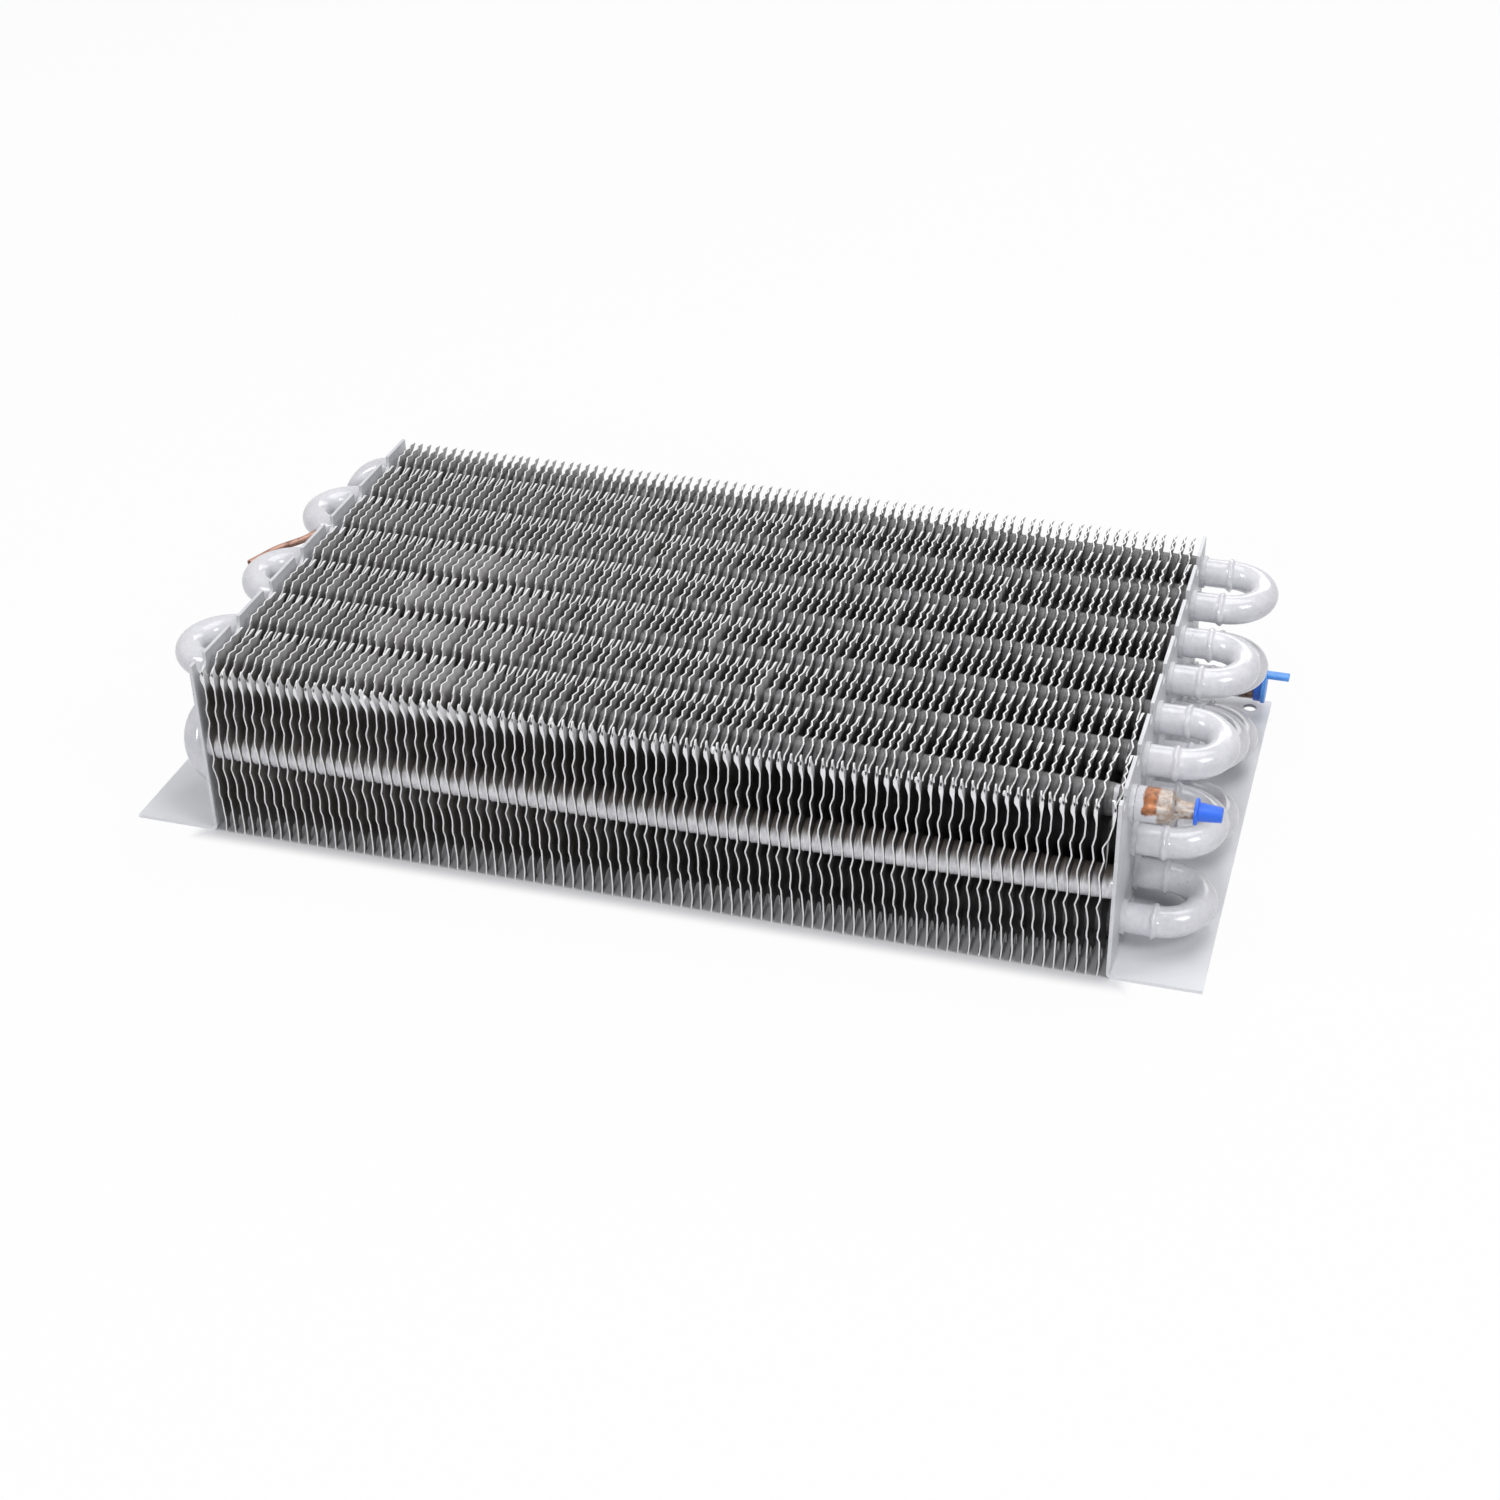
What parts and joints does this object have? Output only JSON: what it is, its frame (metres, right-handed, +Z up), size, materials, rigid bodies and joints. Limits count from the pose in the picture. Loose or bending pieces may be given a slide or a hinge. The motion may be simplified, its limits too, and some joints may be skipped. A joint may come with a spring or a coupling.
{
  "type": "evaporator coil",
  "caption": "Flat finned-tube evaporator coil: a block of notched fins between two flanged end plates, with serpentine tubes, return bends and capped stubs.",
  "frame": {"origin": "midway between the two end plates and between front and back, in the plane of the mounting flanges' undersides", "axes": "+X along the tubes towards the end with the inlet and outlet stubs, -Y the front edge, +Z up from the flanges"},
  "size_m": [0.4702, 0.2222, 0.0825],
  "materials": {
    "painted_tube": "gloss light grey dip paint over copper",
    "painted_plate": "satin light grey dip paint over sheet metal",
    "painted_fin": "satin warm grey dip paint over aluminium",
    "bare_copper": "bare tarnished copper",
    "cap_plastic": "blue moulded plastic"
  },
  "bodies": {
    "root": {"end_plate_left": "painted_plate", "end_plate_right": "painted_plate", "feeder_tube": "bare_copper", "fins_01": "painted_fin", "fins_02": "painted_fin", "fins_03": "painted_fin", "fins_04": "painted_fin", "fins_05": "painted_fin", "fins_06": "painted_fin", "fins_07": "painted_fin", "fins_08": "painted_fin", "fins_09": "painted_fin", "fins_10": "painted_fin", "fins_11": "painted_fin", "fins_12": "painted_fin", "fins_13": "painted_fin", "fins_14": "painted_fin", "fins_15": "painted_fin", "fins_16": "painted_fin", "fins_17": "painted_fin", "fins_18": "painted_fin", "fins_19": "painted_fin", "fins_20": "painted_fin", "fins_21": "painted_fin", "fins_22": "painted_fin", "fins_23": "painted_fin", "front_tube": "painted_tube", "hairpin_bottom_1": "painted_tube", "hairpin_bottom_2": "painted_tube", "hairpin_bottom_3": "painted_tube", "hairpin_diagonal_back": "painted_tube", "hairpin_diagonal_front": "painted_tube", "hairpin_middle_1": "painted_tube", "hairpin_middle_2": "painted_tube", "hairpin_top_1": "painted_tube", "hairpin_top_2": "painted_tube", "hairpin_top_3": "painted_tube", "inlet_cap": "cap_plastic", "inlet_reducer": "painted_tube", "outlet_cap": "cap_plastic", "return_bend_bottom_1": "painted_tube", "return_bend_bottom_2": "painted_tube", "return_bend_bottom_3": "painted_tube", "return_bend_middle_1": "painted_tube", "return_bend_middle_2": "painted_tube", "return_bend_middle_3": "painted_tube", "return_bend_top_1": "painted_tube", "return_bend_top_2": "painted_tube", "return_bend_top_3": "painted_tube"}
  },
  "joints": []
}
